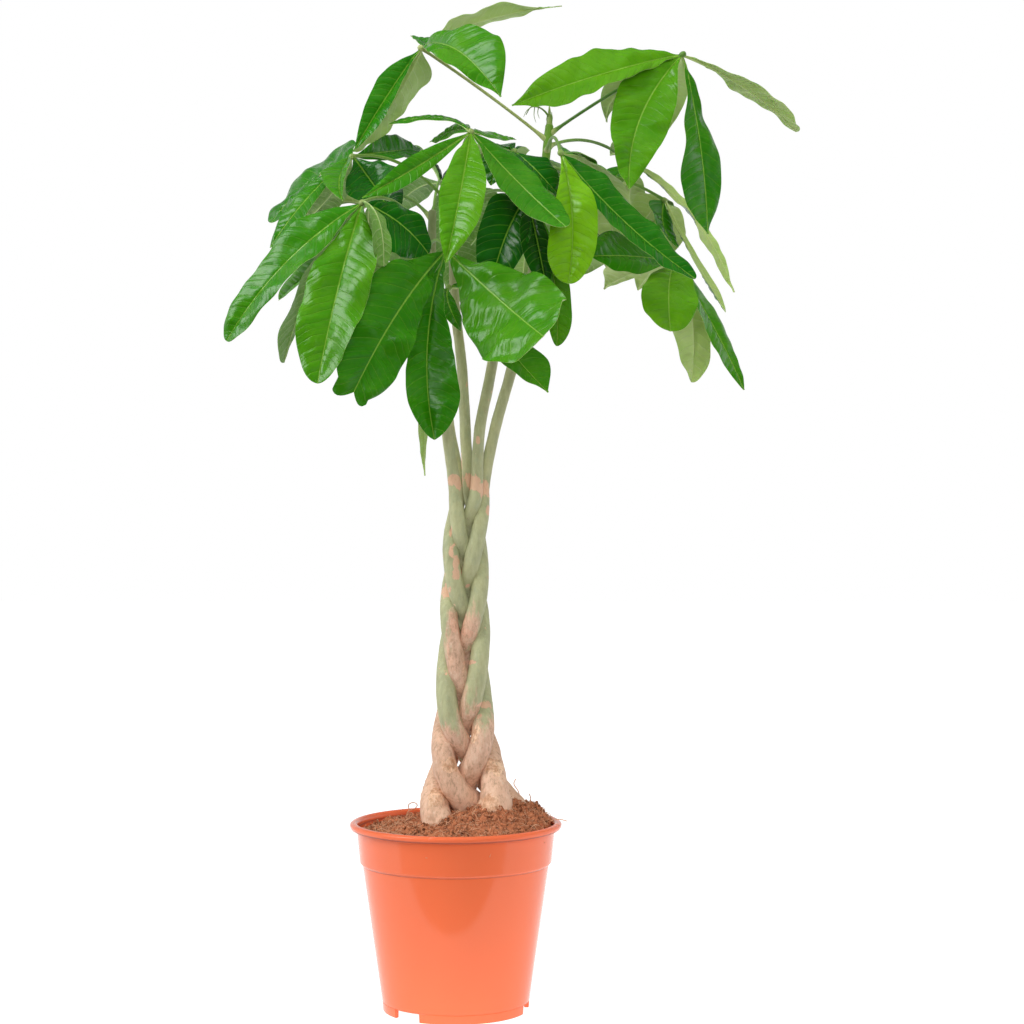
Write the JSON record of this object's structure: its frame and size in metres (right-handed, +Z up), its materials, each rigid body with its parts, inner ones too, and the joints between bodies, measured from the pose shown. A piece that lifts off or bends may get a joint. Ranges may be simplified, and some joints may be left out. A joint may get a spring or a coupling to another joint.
{
  "type": "potted money tree",
  "caption": "Braided-stem money tree with palmate leaves, growing in soil in a round nursery pot that rests on its foot ring.",
  "frame": {"origin": "middle of the whole plant's bounding box, on the surface that the pot stands on; the pot's own axis is 55 mm towards -X and 14 mm towards -Y from it", "axes": "+Z up, along the stems; the front of the plant faces -Y and its right side +X"},
  "size_m": [0.4486, 0.4265, 0.8132],
  "materials": {
    "pot": "gloss",
    "soil": "matte",
    "stem": "matte",
    "leaf": "satin"
  },
  "bodies": {
    "root": {"pot": "pot", "soil": "soil", "stem_a": "stem", "stem_b": "stem", "stem_c": "stem", "stem_d": "stem", "stem_x": "stem", "bud": "leaf", "leaf_top_left": "leaf", "leaf_top_right": "leaf", "leaf_upper_left": "leaf", "leaf_upper_front": "leaf", "leaf_small_centre": "leaf", "leaf_front_left": "leaf", "leaf_front": "leaf", "leaf_front_low": "leaf", "leaf_centre": "leaf", "leaf_right_front": "leaf", "leaf_right_low": "leaf", "leaf_right_mid": "leaf", "leaf_right_back": "leaf", "leaf_back_left": "leaf", "leaf_back": "leaf", "leaf_back_centre": "leaf", "leaf_back_right": "leaf", "leaf_top_back": "leaf", "leaf_left_low": "leaf"}
  },
  "joints": []
}
